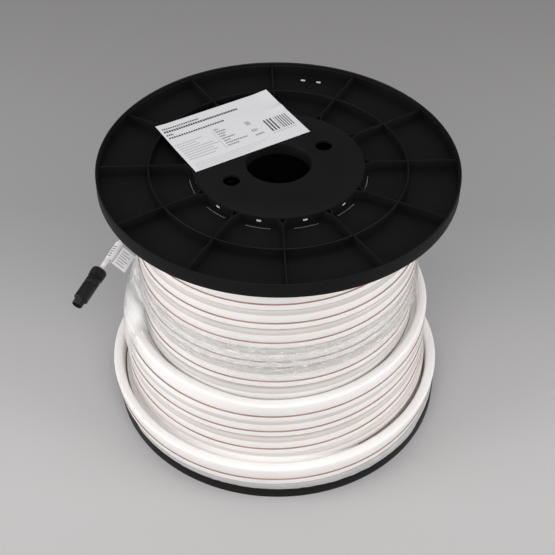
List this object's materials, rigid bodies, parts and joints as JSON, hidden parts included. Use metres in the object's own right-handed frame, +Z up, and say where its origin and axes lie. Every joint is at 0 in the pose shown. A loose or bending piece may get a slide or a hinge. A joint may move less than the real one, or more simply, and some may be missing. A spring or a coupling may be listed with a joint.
{
  "type": "reel of led neon flex",
  "caption": "Plastic cable reel wound with white silicone LED neon flex, with stretch film, a paper sticker and a short feed lead ending in a waterproof plug.",
  "frame": {"origin": "centre of the footprint on the floor, on the reel's axis", "axes": "+Z up along the reel's axis, from the lower flange to the upper one; -Y is the side the picture is taken from, and the feed lead leaves on the -X side"},
  "size_m": [0.4413, 0.4034, 0.34],
  "materials": {
    "reel_plastic": "satin moulded",
    "white_silicone": "smooth matt",
    "packing_foam": "foam sheet",
    "clear_film": "clear stretch film",
    "white_paper": "semi-gloss label paper",
    "white_cable": "smooth",
    "plug_plastic": "moulded"
  },
  "bodies": {
    "root": {"flange_top": "reel_plastic", "flange_bottom": "reel_plastic", "drum_core": "reel_plastic", "packing_disc": "packing_foam", "neon_winding": "white_silicone", "neon_outer_turns": "white_silicone", "neon_last_turn": "white_silicone", "neon_tail": "white_silicone", "strip_end_cap": "white_silicone", "stretch_film": "clear_film", "sticker": "white_paper", "lead_cord": "white_cable", "lead_label": "white_paper", "lead_tag": "white_paper", "plug_nut": "plug_plastic", "plug_body": "plug_plastic"}
  },
  "joints": []
}
